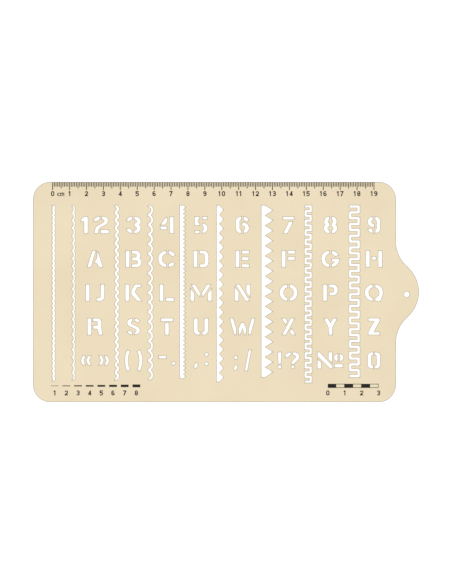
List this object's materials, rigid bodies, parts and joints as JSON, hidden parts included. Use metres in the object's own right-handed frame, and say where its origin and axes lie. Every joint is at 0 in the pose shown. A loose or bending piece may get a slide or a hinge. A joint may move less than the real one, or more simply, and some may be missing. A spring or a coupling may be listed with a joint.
{
  "type": "drawing stencil",
  "caption": "Flat rectangular drawing stencil with cut-out figures, letters, signs and border lines, a printed centimetre rule along a long edge and a hanging tab with a hole.",
  "frame": {"origin": "on the underside, below the middle of the overall outline", "axes": "+X along the rule from its zero towards the hanging tab, +Y across the sheet towards the rule, +Z out of the printed face"},
  "size_m": [0.228, 0.13, 0.0009],
  "materials": {
    "sheet_plastic": "satin beige sheet, cut edges",
    "printed_ink": "matt black print"
  },
  "bodies": {
    "root": {"key_numeral_1": "printed_ink", "key_numeral_2": "printed_ink", "key_numeral_3": "printed_ink", "key_numeral_4": "printed_ink", "key_numeral_5": "printed_ink", "key_numeral_6": "printed_ink", "key_numeral_7": "printed_ink", "key_numeral_8": "printed_ink", "key_stroke_1": "printed_ink", "key_stroke_2": "printed_ink", "key_stroke_3": "printed_ink", "key_stroke_4": "printed_ink", "key_stroke_5": "printed_ink", "key_stroke_6": "printed_ink", "key_stroke_7": "printed_ink", "key_stroke_8": "printed_ink", "rule_numeral_0": "printed_ink", "rule_numeral_1": "printed_ink", "rule_numeral_10_tens": "printed_ink", "rule_numeral_10_units": "printed_ink", "rule_numeral_11_tens": "printed_ink", "rule_numeral_11_units": "printed_ink", "rule_numeral_12_tens": "printed_ink", "rule_numeral_12_units": "printed_ink", "rule_numeral_13_tens": "printed_ink", "rule_numeral_13_units": "printed_ink", "rule_numeral_14_tens": "printed_ink", "rule_numeral_14_units": "printed_ink", "rule_numeral_15_tens": "printed_ink", "rule_numeral_15_units": "printed_ink", "rule_numeral_16_tens": "printed_ink", "rule_numeral_16_units": "printed_ink", "rule_numeral_17_tens": "printed_ink", "rule_numeral_17_units": "printed_ink", "rule_numeral_18_tens": "printed_ink", "rule_numeral_18_units": "printed_ink", "rule_numeral_19_tens": "printed_ink", "rule_numeral_19_units": "printed_ink", "rule_numeral_2": "printed_ink", "rule_numeral_3": "printed_ink", "rule_numeral_4": "printed_ink", "rule_numeral_5": "printed_ink", "rule_numeral_6": "printed_ink", "rule_numeral_7": "printed_ink", "rule_numeral_8": "printed_ink", "rule_numeral_9": "printed_ink", "rule_ticks": "printed_ink", "rule_unit_c": "printed_ink", "rule_unit_m": "printed_ink", "scale_bar": "printed_ink", "scale_numeral_0": "printed_ink", "scale_numeral_1": "printed_ink", "scale_numeral_2": "printed_ink", "scale_numeral_3": "printed_ink", "stencil_plate": "sheet_plastic"}
  },
  "joints": []
}
